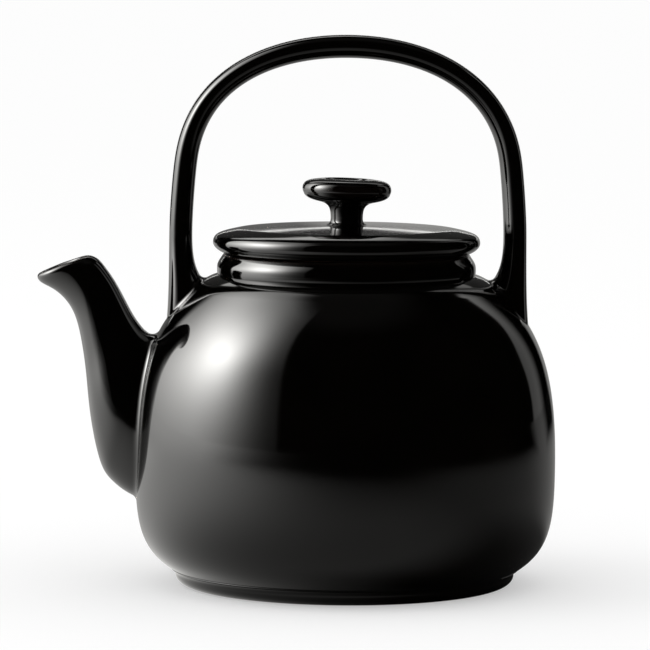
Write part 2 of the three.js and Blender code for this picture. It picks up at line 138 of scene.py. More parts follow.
@dataclass(frozen=True)
class BlackGlaze:
    """Iron-black stoneware glaze, dipped and fired glossy.

    It is a thick clear-black glass: a sharp mirror at every angle, a hair's breadth of orange peel
    that makes straight reflections tremble, and a warm brown where it runs thin over an edge.
    """

    name: str = "iron_black_glaze"
    pooled: str = "#010101"
    clouded: str = "#040302"
    thin: str = "#150D09"
    ior: float = 1.42
    gloss_roughness: float = 0.05
    cloud_roughness: float = 0.085
    thin_roughness: float = 0.3
    thin_gain: float = 1.4
    cloud_mm: float = 22.0
    peel_mm: float = 2.6
    peel_height_mm: float = 0.0035
    sag_mm: float = 34.0
    sag_height_mm: float = 0.035

    def material(self) -> Material:
        """Builds the glaze.

        Returns:
            A material that reads the pieces' "thin" attribute.
        """
        material, tree = new_material(self.name)
        place = add_node(tree, "ShaderNodeTexCoord").outputs["Object"]
        thin = add_node(tree, "ShaderNodeAttribute", {"attribute_name": "thin"}).outputs["Fac"]
        clouds = add_node(tree, "ShaderNodeTexNoise", {},
                          {"Scale": 1 / (self.cloud_mm * MM), "Detail": 4.0, "Roughness": 0.55},
                          {"Vector": place}).outputs["Fac"]
        peel = add_node(tree, "ShaderNodeTexNoise", {},
                        {"Scale": 1 / (self.peel_mm * MM), "Detail": 1.0, "Roughness": 0.4},
                        {"Vector": place}).outputs["Fac"]
        sag = add_node(tree, "ShaderNodeTexNoise", {},
                       {"Scale": 1 / (self.sag_mm * MM), "Detail": 0.0},
                       {"Vector": place}).outputs["Fac"]
        colour = add_node(tree, "ShaderNodeMix", {"data_type": "RGBA"},
                          {"A": linear(self.pooled), "B": linear(self.clouded)},
                          {"Factor": clouds}).outputs["Result"]
        broken = add_node(tree, "ShaderNodeMath", {"operation": "MULTIPLY"}, {},
                          {0: thin, 1: clouds}).outputs["Value"]
        edged = add_node(tree, "ShaderNodeMath", {"operation": "MULTIPLY_ADD", "use_clamp": True},
                         {1: self.thin_gain, 2: 0.0}, {0: broken}).outputs["Value"]
        tinted = add_node(tree, "ShaderNodeMix", {"data_type": "RGBA"}, {"B": linear(self.thin)},
                          {"Factor": edged, "A": colour}).outputs["Result"]
        gloss = add_node(tree, "ShaderNodeMapRange", {},
                         {"From Min": 0.3, "From Max": 0.8, "To Min": self.gloss_roughness,
                          "To Max": self.cloud_roughness}, {"Value": clouds}).outputs["Result"]
        roughness = add_node(tree, "ShaderNodeMix", {"data_type": "FLOAT"},
                             {"B": self.thin_roughness},
                             {"Factor": edged, "A": gloss}).outputs["Result"]
        sagged = add_node(tree, "ShaderNodeBump", {},
                          {"Strength": 1.0, "Distance": self.sag_height_mm * MM},
                          {"Height": sag}).outputs["Normal"]
        peeled = add_node(tree, "ShaderNodeBump", {},
                          {"Strength": 1.0, "Distance": self.peel_height_mm * MM},
                          {"Height": peel, "Normal": sagged}).outputs["Normal"]
        glass = add_node(tree, "ShaderNodeBsdfPrincipled", {}, {"IOR": self.ior},
                         {"Base Color": tinted, "Roughness": roughness,
                          "Normal": peeled}).outputs["BSDF"]
        add_node(tree, "ShaderNodeOutputMaterial", {}, {}, {"Surface": glass})
        return material


@dataclass(frozen=True)
class BareStoneware:
    """Dark iron stoneware, turned and left bare where the pot and lid must not stick in firing.

    It is dull and dry, warm brown, with grog the size of sand that catches the light.
    """

    name: str = "bare_iron_stoneware"
    clay: str = "#3A2A20"
    toasted: str = "#5A3A26"
    grog: str = "#7A6350"
    roughness: float = 0.82
    toast_mm: float = 14.0
    grog_mm: float = 0.9
    grog_height_mm: float = 0.05

    def material(self) -> Material:
        """Builds the clay.

        Returns:
            The material.
        """
        material, tree = new_material(self.name)
        place = add_node(tree, "ShaderNodeTexCoord").outputs["Object"]
        toast = add_node(tree, "ShaderNodeTexNoise", {},
                         {"Scale": 1 / (self.toast_mm * MM), "Detail": 5.0},
                         {"Vector": place}).outputs["Fac"]
        grains = add_node(tree, "ShaderNodeTexVoronoi", {},
                          {"Scale": 1 / (self.grog_mm * MM)}, {"Vector": place}).outputs["Distance"]
        specks = add_node(tree, "ShaderNodeMapRange", {"clamp": True},
                          {"From Min": 0.16, "From Max": 0.08}, {"Value": grains}).outputs["Result"]
        fired = add_node(tree, "ShaderNodeMix", {"data_type": "RGBA"},
                         {"A": linear(self.clay), "B": linear(self.toasted)},
                         {"Factor": toast}).outputs["Result"]
        speckled = add_node(tree, "ShaderNodeMix", {"data_type": "RGBA"},
                            {"B": linear(self.grog)},
                            {"Factor": specks, "A": fired}).outputs["Result"]
        bumped = add_node(tree, "ShaderNodeBump", {},
                          {"Strength": 1.0, "Distance": self.grog_height_mm * MM},
                          {"Height": grains}).outputs["Normal"]
        clay = add_node(tree, "ShaderNodeBsdfPrincipled", {}, {"Roughness": self.roughness},
                        {"Base Color": speckled, "Normal": bumped}).outputs["BSDF"]
        add_node(tree, "ShaderNodeOutputMaterial", {}, {}, {"Surface": clay})
        return material


@dataclass
class Skin:
    """A mesh in the making: corners, faces, and how thin the glaze lies at each corner."""

    corners: Array
    faces: list[tuple[int, ...]]
    thin: Array

    def to_object(self, name: str, axis_x: float, material: Material) -> Object:
        """Makes the Blender object.

        Args:
            name: the piece's name.
            axis_x: the pot's axis along X, in metres.
            material: its first finish.

        Returns:
            The object, smooth shaded and linked to the scene.
        """
        placed = self.corners * MM + np.array([axis_x, 0.0, 0.0])
        mesh = bpy.data.meshes.new(name)
        mesh.from_pydata(placed.tolist(), [], self.faces)
        mesh.validate()
        mesh.shade_smooth()
        thin = mesh.attributes.new("thin", "FLOAT", "POINT")
        thin.data.foreach_set("value", self.thin.astype(np.float32))
        mesh.materials.append(material)
        piece = bpy.data.objects.new(name, mesh)
        bpy.context.scene.collection.objects.link(piece)
        return piece


def weave(grid: Array, thin: Array, close_rows: bool, caps: bool = False) -> Skin:
    """Skins a grid of corners whose columns run round a closed section.

    Args:
        grid: corners, as rows by columns by 3.
        thin: thinness of the glaze, as rows by columns.
        close_rows: joins the last row to the first.
        caps: closes the first and last row on their middles.

    Returns:
        The skin, facing out where a row's columns run counter-clockwise seen from the next row.
    """
    rows, columns = grid.shape[:2]
    corners = grid.reshape(-1, 3)
    thinness = thin.reshape(-1)
    faces = []
    for row in range(rows if close_rows else rows - 1):
        here = row * columns
        above = ((row + 1) % rows) * columns
        for column in range(columns):
            after = (column + 1) % columns
            faces.append((here + column, here + after, above + after, above + column))
    if caps:
        ends = np.array([grid[0].mean(axis=0), grid[-1].mean(axis=0)])
        low, high = len(corners), len(corners) + 1
        last = (rows - 1) * columns
        for column in range(columns):
            after = (column + 1) % columns
            faces.append((low, after, column))
            faces.append((high, last + column, last + after))
        corners = np.vstack([corners, ends])
        thinness = np.append(thinness, [thin[0].mean(), thin[-1].mean()])
    return Skin(corners, faces, thinness)


@dataclass
class Outline:
    """Half a section through a turned piece, as (radius, height), with the clay on its left."""

    start: Pair
    points: list[Array] = field(init=False)
    soft: list[tuple[int, float, float]] = field(default_factory=list)

    def __post_init__(self) -> None:
        """Puts the pen down."""
        self.points = [np.array(self.start, float)]

    def line(self, r: float, z: float) -> "Outline":
        """Draws a straight stretch to (r, z)."""
        self.points.append(np.array([r, z], float))
        return self

    def curve(self, one: Pair, two: Pair, end: Pair,
              steps: int = Facets.CURVE.value) -> "Outline":
        """Draws a cubic curve.

        Args:
            one: its first control point.
            two: its second control point.
            end: where it ends.
            steps: how many stretches it is cut into.

        Returns:
            The outline itself.
        """
        share = np.linspace(0, 1, steps + 1)[1:, None]
        corners = [self.points[-1], np.array(one), np.array(two), np.array(end)]
        self.points.extend(bezier(corners, share))
        return self

    def soften(self, reach: float, thin: float = 0.0) -> "Outline":
        """Rounds the corner that the pen stands on.

        Args:
            reach: how far the rounding reaches along each side.
            thin: how thin the glaze lies over that corner, from 0 to 1.

        Returns:
            The outline itself.
        """
        self.soft.append((len(self.points) - 1, reach, thin))
        return self

    def finished(self) -> tuple[Array, Array]:
        """Rounds the marked corners.

        Returns:
            The outline's points, and how thin the glaze lies at each.
        """
        points = np.array(self.points)
        run = run_along(points)
        thin = np.zeros(len(points))
        for index, reach, share in self.soft:
            thin = np.maximum(thin, share * np.exp(-((run - run[index]) / (reach * 1.2)) ** 2))
        for index, reach, share in sorted(self.soft, reverse=True):
            here = run[index]
            low = max(here - reach, 0.0)
            high = min(here + reach, run[-1])
            before = along(points, run, low)
            after = along(points, run, high)
            steps = np.linspace(0, 1, Facets.SOFT_CORNER.value)[:, None]
            rounded = bezier([before, points[index], after], steps)
            keep_low = run < low - 1e-6
            keep_high = run > high + 1e-6
            turn = np.full(len(rounded), share)
            points = np.vstack([points[keep_low], rounded, points[keep_high]])
            thin = np.concatenate([thin[keep_low], turn, thin[keep_high]])
            arc = np.linspace(low, high, len(rounded))
            run = np.concatenate([run[keep_low], arc, run[keep_high]])
        return points, thin


def bezier(corners: list[Array], share: Array) -> Array:
    """Points of a Bezier curve of any degree.

    Args:
        corners: its control points.
        share: how far along, from 0 to 1, as a column.

    Returns:
        One point for each share.
    """
    level = [corner + np.zeros_like(share) for corner in corners]
    while len(level) > 1:
        level = [a * (1 - share) + b * share for a, b in zip(level, level[1:])]
    return level[0]


def along(points: Array, run: Array, place: float) -> Array:
    """The point at a distance along a polyline.

    Args:
        points: the polyline.
        run: the distance of each of its points from the first.
        place: the distance wanted.

    Returns:
        The point.
    """
    return np.array([np.interp(place, run, points[:, k]) for k in range(points.shape[1])])


def eased(line: Array, reach: float) -> Array:
    """Evens out the bends of a line that runs in even steps, so that gloss flows along it.

    Args:
        line: points along the first axis.
        reach: standard deviation of the smoothing, in steps.

    Returns:
        The smoothed line, its two ends where they were.
    """
    width = int(reach * 3)
    offsets = np.arange(-width, width + 1)
    weights = np.exp(-0.5 * (offsets / reach) ** 2)
    weights /= weights.sum()
    lead = 2 * line[:1] - line[width:0:-1]
    tail = 2 * line[-1:] - line[-2:-width - 2:-1]
    padded = np.concatenate([lead, line, tail])
    return sum(w * padded[k:k + len(line)] for k, w in enumerate(weights))


def smoothstep(share: Array) -> Array:
    """The usual soft step from 0 to 1."""
    held = np.clip(share, 0, 1)
    return held * held * (3 - 2 * held)


def ramp(value: Array, start: float, end: float) -> Array:
    """A soft step that climbs from 0 at start to 1 at end."""
    return smoothstep((value - start) / (end - start))


def between(ends: tuple[float | Array, float | Array], share: float | Array) -> float | Array:
    """The value a share of the way from the first end to the second."""
    return ends[0] + (ends[1] - ends[0]) * share


def unit(vectors: Array) -> Array:
    """Vectors of length 1, each in its own direction."""
    return vectors / np.linalg.norm(vectors, axis=-1, keepdims=True)


def run_along(points: Array) -> Array:
    """How far along a polyline each of its points lies."""
    return np.concatenate([[0], np.cumsum(np.linalg.norm(np.diff(points, axis=0), axis=1))])


def turned(outline: Outline, facets: Facets = Facets.ROUND) -> Skin:
    """Turns an outline round the pot's axis.

    Args:
        outline: from axis to axis, or closed on itself.
        facets: how many facets round.

    Returns:
        A closed skin.
    """
    points, thin = outline.finished()
    on_axis = points[0, 0] < 1e-6
    ring = points[1:-1] if on_axis else points[:-1]
    thin_ring = thin[1:-1] if on_axis else thin[:-1]
    steps = facets.value
    angle = np.arange(steps) * 2 * math.pi / steps
    grid = np.stack([
        ring[:, :1] * np.cos(angle),
        ring[:, :1] * np.sin(angle),
        ring[:, 1:] + 0 * angle,
    ], axis=-1)
    skin = weave(grid, thin_ring[:, None] + 0 * angle, close_rows=not on_axis, caps=on_axis)
    if on_axis:
        skin.corners[-2] = (0, 0, points[0, 1])
        skin.corners[-1] = (0, 0, points[-1, 1])
    return skin


@dataclass
class Wall:
    """The pot's outer skin as the spout and the handle meet it: a dense half section."""

    section: Array

    def clearance(self, places: Array) -> tuple[Array, Array]:
        """How far places lie off the skin, and which way is straight off it.

        Args:
            places: points, with coordinates on the last axis.

        Returns:
            Signed distances, and unit normals of the skin's nearest points.
        """
        flat = places.reshape(-1, 3)
        radius = np.hypot(flat[:, 0], flat[:, 1])
        here = np.stack([radius, flat[:, 2]], axis=1)
        best = np.full(len(flat), np.inf)
        off = np.zeros((len(flat), 2))
        side = np.zeros((len(flat), 2))
        for start, end in zip(self.section[:-1], self.section[1:]):
            stretch = end - start
            share = np.clip((here - start) @ stretch / (stretch @ stretch), 0, 1)
            gap = here - (start + share[:, None] * stretch)
            size = np.hypot(gap[:, 0], gap[:, 1])
            nearer = size < best
            best = np.where(nearer, size, best)
            off[nearer] = gap[nearer]
            side[nearer] = np.array([stretch[1], -stretch[0]]) / np.hypot(*stretch)
        sign = np.where((off * side).sum(axis=1) >= 0, 1.0, -1.0)
        clear = best > 1e-3
        away = np.where(clear[:, None], off * sign[:, None] / np.maximum(best, 1e-3)[:, None], side)
        round_way = flat[:, :2] / np.maximum(radius, 1e-9)[:, None]
        normal = np.stack([
            away[:, 0] * round_way[:, 0],
            away[:, 0] * round_way[:, 1],
            away[:, 1],
        ], axis=1)
        return (best * sign).reshape(places.shape[:-1]), normal.reshape(places.shape)

    def lute(self, rows: Array, outward: Array, ball: float, kept: int,
             sink: float) -> Array:
        """Trims a swept piece to the skin with the fillet that a rolling ball leaves.

        Args:
            rows: sections by places round by 3, from the free end down into the wall.
            outward: the swept piece's own normals there.
            ball: radius of the fillet.
            kept: how many sections are kept down to the fillet.
            sink: how far the last section goes in under the skin.

        Returns:
            Sections that end under the skin: the kept ones, the fillet's arc and one more.
        """
        lines, outward = rows.transpose(1, 0, 2), outward.transpose(1, 0, 2)
        stop = crossing(self.clearance(lines + ball * outward)[0] - ball)
        trimmed = sampled(lines, stop * np.linspace(0, 1, kept))
        facing = unit(sampled(outward, stop)[:, 0])
        centre = trimmed[:, -1] + ball * facing
        landing = self.clearance(centre)[1]
        turn = np.arccos(np.clip((facing * landing).sum(axis=1), -1, 1))[:, None, None]
        swing = np.linspace(0, 1, Facets.FILLET.value)[None, 1:, None]
        from_piece = np.sin((1 - swing) * turn) * -facing[:, None]
        to_skin = np.sin(swing * turn) * -landing[:, None]
        arc = centre[:, None] + ball * (from_piece + to_skin) / np.sin(turn)
        onward = unit(arc[:, -1] - arc[:, -2])
        under = arc[:, -1] + onward * sink * 1.5 - landing * sink
        return np.concatenate([trimmed, arc, under[:, None]], axis=1).transpose(1, 0, 2)


def crossing(gap: Array) -> Array:
    """Where lines first pass under the skin.

    Args:
        gap: lines by places, how far each place still lies off the skin.

    Returns:
        One place for each line, counted from 0, as a column.
    """
    first = np.argmax(gap < 0, axis=1)
    count = np.arange(len(gap))
    above, below = gap[count, first - 1], gap[count, first]
    return (first - 1 + above / (above - below))[:, None]


def sampled(lines: Array, places: Array) -> Array:
    """Reads lines between their places.

    Args:
        lines: lines by places by 3.
        places: lines by wanted places, counted from 0.

    Returns:
        Lines by wanted places by 3.
    """
    low = np.clip(np.floor(places).astype(int), 0, lines.shape[1] - 2)
    share = (places - low)[..., None]
    rows = np.arange(len(lines))[:, None]
    return lines[rows, low] * (1 - share) + lines[rows, low + 1] * share


def swept_normals(grid: Array) -> Array:
    """Unit normals of a swept grid whose columns run round and whose rows run along.

    Args:
        grid: rows by columns by 3.

    Returns:
        Normals that point out of the swept piece.
    """
    lengthwise = np.gradient(grid, axis=0)
    crosswise = np.roll(grid, -1, axis=1) - np.roll(grid, 1, axis=1)
    normal = unit(np.cross(lengthwise, crosswise))
    middle = grid.mean(axis=1, keepdims=True)
    facing = (normal * (grid - middle)).sum() > 0
    return normal if facing else -normal


def section(near: Array, far: Array, half_breadth: Array, sides: int,
            fullness: Array | float = 0.0,
            flatness: tuple[Array | float, Array | float] = (2.0, 2.0)) -> Array:
    """Oval sections across Y between two edges in the XZ plane.

    Args:
        near: one edge, as places by (x, z).
        far: the other edge.
        half_breadth: half of each section's breadth along Y.
        sides: how many points round a section.
        fullness: how much broader the near end is than the far end.
        flatness: how square the near and the far half are, with 2 for half an ellipse.

    Returns:
        Places by sides by 3.
    """
    angle = np.arange(sides) * 2 * math.pi / sides
    near_flat, far_flat = (np.asarray(part).reshape(-1, 1) for part in flatness)
    power = 2 / np.where(np.cos(angle) > 0, near_flat, far_flat)
    lengthways = np.sign(np.cos(angle)) * np.abs(np.cos(angle)) ** power
    across = np.sign(np.sin(angle)) * np.abs(np.sin(angle)) ** power
    middle = (near + far) / 2
    half = (near - far) / 2
    swell = 1 + np.asarray(fullness).reshape(-1, 1) * lengthways
    return np.stack([
        middle[:, :1] + half[:, :1] * lengthways,
        -half_breadth[:, None] * across * swell,
        middle[:, 1:] + half[:, 1:] * lengthways,
    ], axis=-1)


def natural_spline(knots: Array, wanted: Array) -> Array:
    """A curve through knots whose bend never jumps.

    Args:
        knots: knots by coordinates, one step apart.
        wanted: places along it, counted in knots.

    Returns:
        The curve's points.
    """
    count = len(knots)
    system = np.eye(count)
    right = np.zeros_like(knots)
    for k in range(1, count - 1):
        system[k, k - 1:k + 2] = (1, 4, 1)
        right[k] = 6 * (knots[k + 1] - 2 * knots[k] + knots[k - 1])
    bend = np.linalg.solve(system, right)
    low = np.clip(np.floor(wanted).astype(int), 0, count - 2)
    t = (wanted - low)[:, None]
    a, b = knots[low], knots[low + 1]
    m, n = bend[low], bend[low + 1]
    return (a * (1 - t) + b * t + ((1 - t) ** 3 - (1 - t)) * m / 6 + (t ** 3 - t) * n / 6)


@dataclass
class Belly:
    """Body, foot ring and neck collar: the thrown pot itself."""

    belly_r: float
    foot_height: float
    seat_z: float
    rim_z: float
    belly_z: float = 51.8
    wall: float = 5.0
    heel_r: float = 68.5
    shoulder_r: float = 58.8
    shoulder_z: float = 122.9
    shoulder_round: float = 4.6
    bore_r: float = 46.5
    collar_r: float = 52.2
    collar_rim_r: float = 49.6
    collar_foot_r: float = 51.9
    foot_contact_r: float = 62.2
    foot_inner_r: float = 56.2
    side_step: float = 1.0
    side_ease: float = 5.0

    @classmethod
    def from_frame(cls) -> "Belly":
        """Reads the driving sizes from the frame."""
        shell, collar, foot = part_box("body_shell"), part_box("neck_collar"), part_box("foot_ring")
        return cls(
            belly_r=(shell[1].y - shell[0].y) / 2 / MM,
            foot_height=foot[1].z / MM,
            seat_z=shell[1].z / MM,
            rim_z=collar[1].z / MM,
        )

    def side(self) -> Outline:
        """The belly's outer side, from the heel crease up to the turn of the shoulder."""
        side = Outline((self.heel_r, self.foot_height))
        side.curve((83.9, 13.4), (self.belly_r, 23.0), (self.belly_r, self.belly_z))
        side.curve((self.belly_r, 92.3), (76.3, 107.1), (self.shoulder_r, self.shoulder_z))
        even = resampled(np.array(side.points), self.side_step)
        side.points = list(eased(even, self.side_ease))
        return side

    def skin_section(self) -> Array:
        """The outer skin that luted pieces meet, from the heel up and over the collar's mouth."""
        outline = self.side()
        outline.soften(self.shoulder_round)
        outline.curve((56.8, 124.2), (54.0, 124.9), (self.collar_foot_r, self.seat_z + 0.3), 10)
        outline.line(self.collar_r, self.seat_z + 2.6)
        outline.line(self.collar_rim_r, self.rim_z).line(0, self.rim_z)
        return outline.finished()[0]

    def shell(self) -> Skin:
        """Body shell: side, ledge, neck bore, cavity and floor in one wall."""
        inner = offset(np.array(self.side().points), -self.wall)[::-1]
        inner = resampled(inner, 3 * self.side_step)
        outline = Outline((0, self.foot_height)).line(60.0, self.foot_height)
        # Behind the foot ring the side runs on a little, so that its gloss has no kink.
        outline.line(self.heel_r - 1.8, self.foot_height - 0.9)
        outline.line(self.heel_r - 0.9, self.foot_height - 0.45)
        outline.points.extend(self.side().points)
        outline.soften(self.shoulder_round)
        outline.curve((56.8, 124.2), (54.0, 124.9), (self.collar_foot_r, self.seat_z), 10)
        outline.line(self.bore_r, self.seat_z).line(self.bore_r, self.seat_z - self.wall)
        outline.soften(1.2)
        outline.points.extend(inner)
        outline.line(0, inner[-1][1])
        return turned(outline)

    def foot(self) -> Skin:
        """Foot ring: a quarter round under the belly, its crease softened by pooled glaze."""
        side_r, top_z = self.heel_r, self.foot_height
        outline = Outline((self.foot_inner_r, 1.5)).line(self.foot_inner_r, 0).soften(1.5, 0.8)
        outline.line(self.foot_contact_r, 0).soften(0.8, 0.5)
        outline.curve((66.2, 0.15), (side_r + 0.05, 2.0), (side_r + 0.05, top_z - 1.4), 24)
        outline.curve((side_r + 0.05, top_z - 0.4), (side_r + 0.5, top_z + 0.25),
                      (side_r + 2.0, top_z + 1.06), 14)
        outline.line(side_r - 1.0, top_z + 1.6).line(self.foot_inner_r, top_z + 0.6)
        outline.line(self.foot_inner_r, 1.5)
        return turned(outline)

    def collar(self) -> Skin:
        """Neck collar: a soft band, fullest near its foot, that draws in to a rounded rim."""
        foot_z, rim_z = self.seat_z, self.rim_z
        outline = Outline((self.bore_r, foot_z)).line(self.collar_foot_r, foot_z - 0.4)
        outline.curve((self.collar_r, foot_z + 0.1), (self.collar_r + 0.1, foot_z + 1.4),
                      (self.collar_r, foot_z + 3.0), 14)
        outline.curve((self.collar_r - 0.1, rim_z - 3.2), (self.collar_rim_r + 0.9, rim_z - 1.9),
                      (self.collar_rim_r, rim_z), 18)
        outline.soften(0.9, 0.6)
        outline.line(self.bore_r, rim_z).soften(0.8, 0.5)
        outline.line(self.bore_r, foot_z)
        return turned(outline)


def resampled(points: Array, step: float) -> Array:
    """Spreads points evenly along a polyline.

    Args:
        points: the polyline.
        step: the wanted distance between points.

    Returns:
        The same line in even steps.
    """
    run = run_along(points)
    places = np.linspace(0, run[-1], max(int(run[-1] / step), 2) + 1)
    return np.stack([np.interp(places, run, points[:, k]) for k in range(points.shape[1])], axis=1)


def offset(points: Array, distance: float) -> Array:
    """Moves an open outline along its outward normals.

    Args:
        points: the outline, with the clay on its left.
        distance: how far out, or in if below 0.

    Returns:
        The moved outline.
    """
    way = unit(np.gradient(points, axis=0))
    return points + distance * np.stack([way[:, 1], -way[:, 0]], axis=1)


@dataclass
class Spout:
    """Spout: an egg-shaped tube, broad at its root and thrown forward to a rounded lip.

    Each station is (front reach, front height, back reach, back height, half breadth), with the
    reach counted from the belly's widest radius and the first station inside the belly.
    """

    belly: Belly
    wall: float = 4.0
    fillet: float = 3.2
    fullness: float = 0.16
    back_flatness: float = 2.9
    flat_by: float = 0.35
    stations: tuple[tuple[float, ...], ...] = (
        (-12.0, 31.0, -24.0, 88.0, 17.0),
        (1.6, 35.6, -9.2, 97.6, 17.2),
        (9.6, 41.6, -5.0, 101.3, 16.8),
        (14.4, 49.5, -3.1, 102.9, 16.3),
        (18.3, 68.3, 0.3, 107.4, 14.5),
        (19.9, 84.5, 3.4, 112.9, 12.6),
        (22.0, 99.1, 7.3, 120.3, 11.2),
        (25.6, 111.1, 11.0, 126.0, 10.2),
        (32.6, 118.7, 14.4, 130.4, 10.0),
        (38.6, 121.9, 16.6, 132.0, 10.2),
        (40.3, 125.9, 18.6, 132.8, 10.1),
    )
    steps: int = 400
    ease: float = 9.0
    sink: float = 1.0
    skin_places: int = 120
    bore_places: int = 60
    lip_rings: int = 12
    lip_thin: float = 0.75

    def sections(self, inset: float) -> Array:
        """The tube's skin, or its bore when inset, from the lip down into the belly.

        Args:
            inset: how far inside the outer skin.

        Returns:
            Places by sides by 3.
        """
        knots = np.array(self.stations)
        places = np.linspace(len(knots) - 1, 0, self.steps)
        run = eased(natural_spline(knots, places), self.ease)
        near = np.stack([-(self.belly.belly_r + run[:, 0]), run[:, 1]], axis=1)
        far = np.stack([-(self.belly.belly_r + run[:, 2]), run[:, 3]], axis=1)
        inward = unit(far - near)
        below_lip = 1 - places / (len(knots) - 1)
        flat = 2 + (self.back_flatness - 2) * smoothstep(below_lip / self.flat_by)
        return section(near + inward * inset, far - inward * inset, run[:, 4] - inset,
                       Facets.SPOUT_SIDES.value, self.fullness * below_lip, (2.0, flat))

    def skin(self) -> Skin:
        """Outer skin, fillet on the belly, bore and rounded lip, as one closed tube."""
        wall = Wall(self.belly.skin_section())
        outer, bore = self.sections(0.0), self.sections(self.wall)
        lip = self.lip_rows(outer, bore)
        first = self.lip_step(outer)
        luted = wall.lute(outer[first:], swept_normals(outer)[first:], self.fillet,
                          self.skin_places, self.sink)
        drilled = self.bore_down(wall, bore[self.lip_step(bore):])
        grid = np.concatenate([luted, drilled[::-1], lip])
        thin = np.zeros(grid.shape[:2])
        thin[-len(lip):] = self.lip_thin * np.sin(np.linspace(0, math.pi, len(lip)))[:, None]
        return outward_skin(weave(grid, thin, close_rows=True))

    def lip_step(self, rows: Array) -> int:
        """The row that lies half a wall below the mouth."""
        drop = np.linalg.norm((rows - rows[0]).mean(axis=1), axis=1)
        return int(np.argmax(drop >= self.wall / 2))

    def lip_rows(self, outer: Array, bore: Array) -> Array:
        """Rounds the lip over from the bore to the outer skin.

        Args:
            outer: rows of the outer skin from the mouth down.
            bore: rows of the bore from the mouth down.

        Returns:
            The rows in between, from the bore outwards.
        """
        low_out, low_in = self.lip_step(outer), self.lip_step(bore)
        reach = self.wall * 2 / 3
        up_out = reach * unit(outer[low_out - 4] - outer[low_out])
        up_in = reach * unit(bore[low_in - 4] - bore[low_in])
        corners = [bore[low_in], bore[low_in] + up_in, outer[low_out] + up_out, outer[low_out]]
        share = np.linspace(0, 1, self.lip_rings + 2)[1:-1]
        return np.stack([bezier(corners, np.full((len(outer[0]), 1), s)) for s in share])

    def bore_down(self, wall: Wall, rows: Array) -> Array:
        """Ends the bore just under the belly's skin.

        Args:
            wall: the belly's skin.
            rows: the bore's sections, from the lip down.

        Returns:
            The sections that are left.
        """
        lines = rows.transpose(1, 0, 2)
        stop = crossing(wall.clearance(lines)[0] + self.sink)
        return sampled(lines, stop * np.linspace(0, 1, self.bore_places)).transpose(1, 0, 2)


def outward_skin(skin: Skin) -> Skin:
    """Turns a closed skin's faces round if they point in.

    Args:
        skin: a closed skin of quads and triangles.

    Returns:
        The same skin with its faces pointing out.
    """
    volume = 0.0
    for face in skin.faces:
        first = skin.corners[face[0]]
        for one, two in zip(face[1:], face[2:]):
            volume += float(np.dot(first, np.cross(skin.corners[one], skin.corners[two])))
    if volume < 0:
        skin.faces = [face[::-1] for face in skin.faces]
    return skin


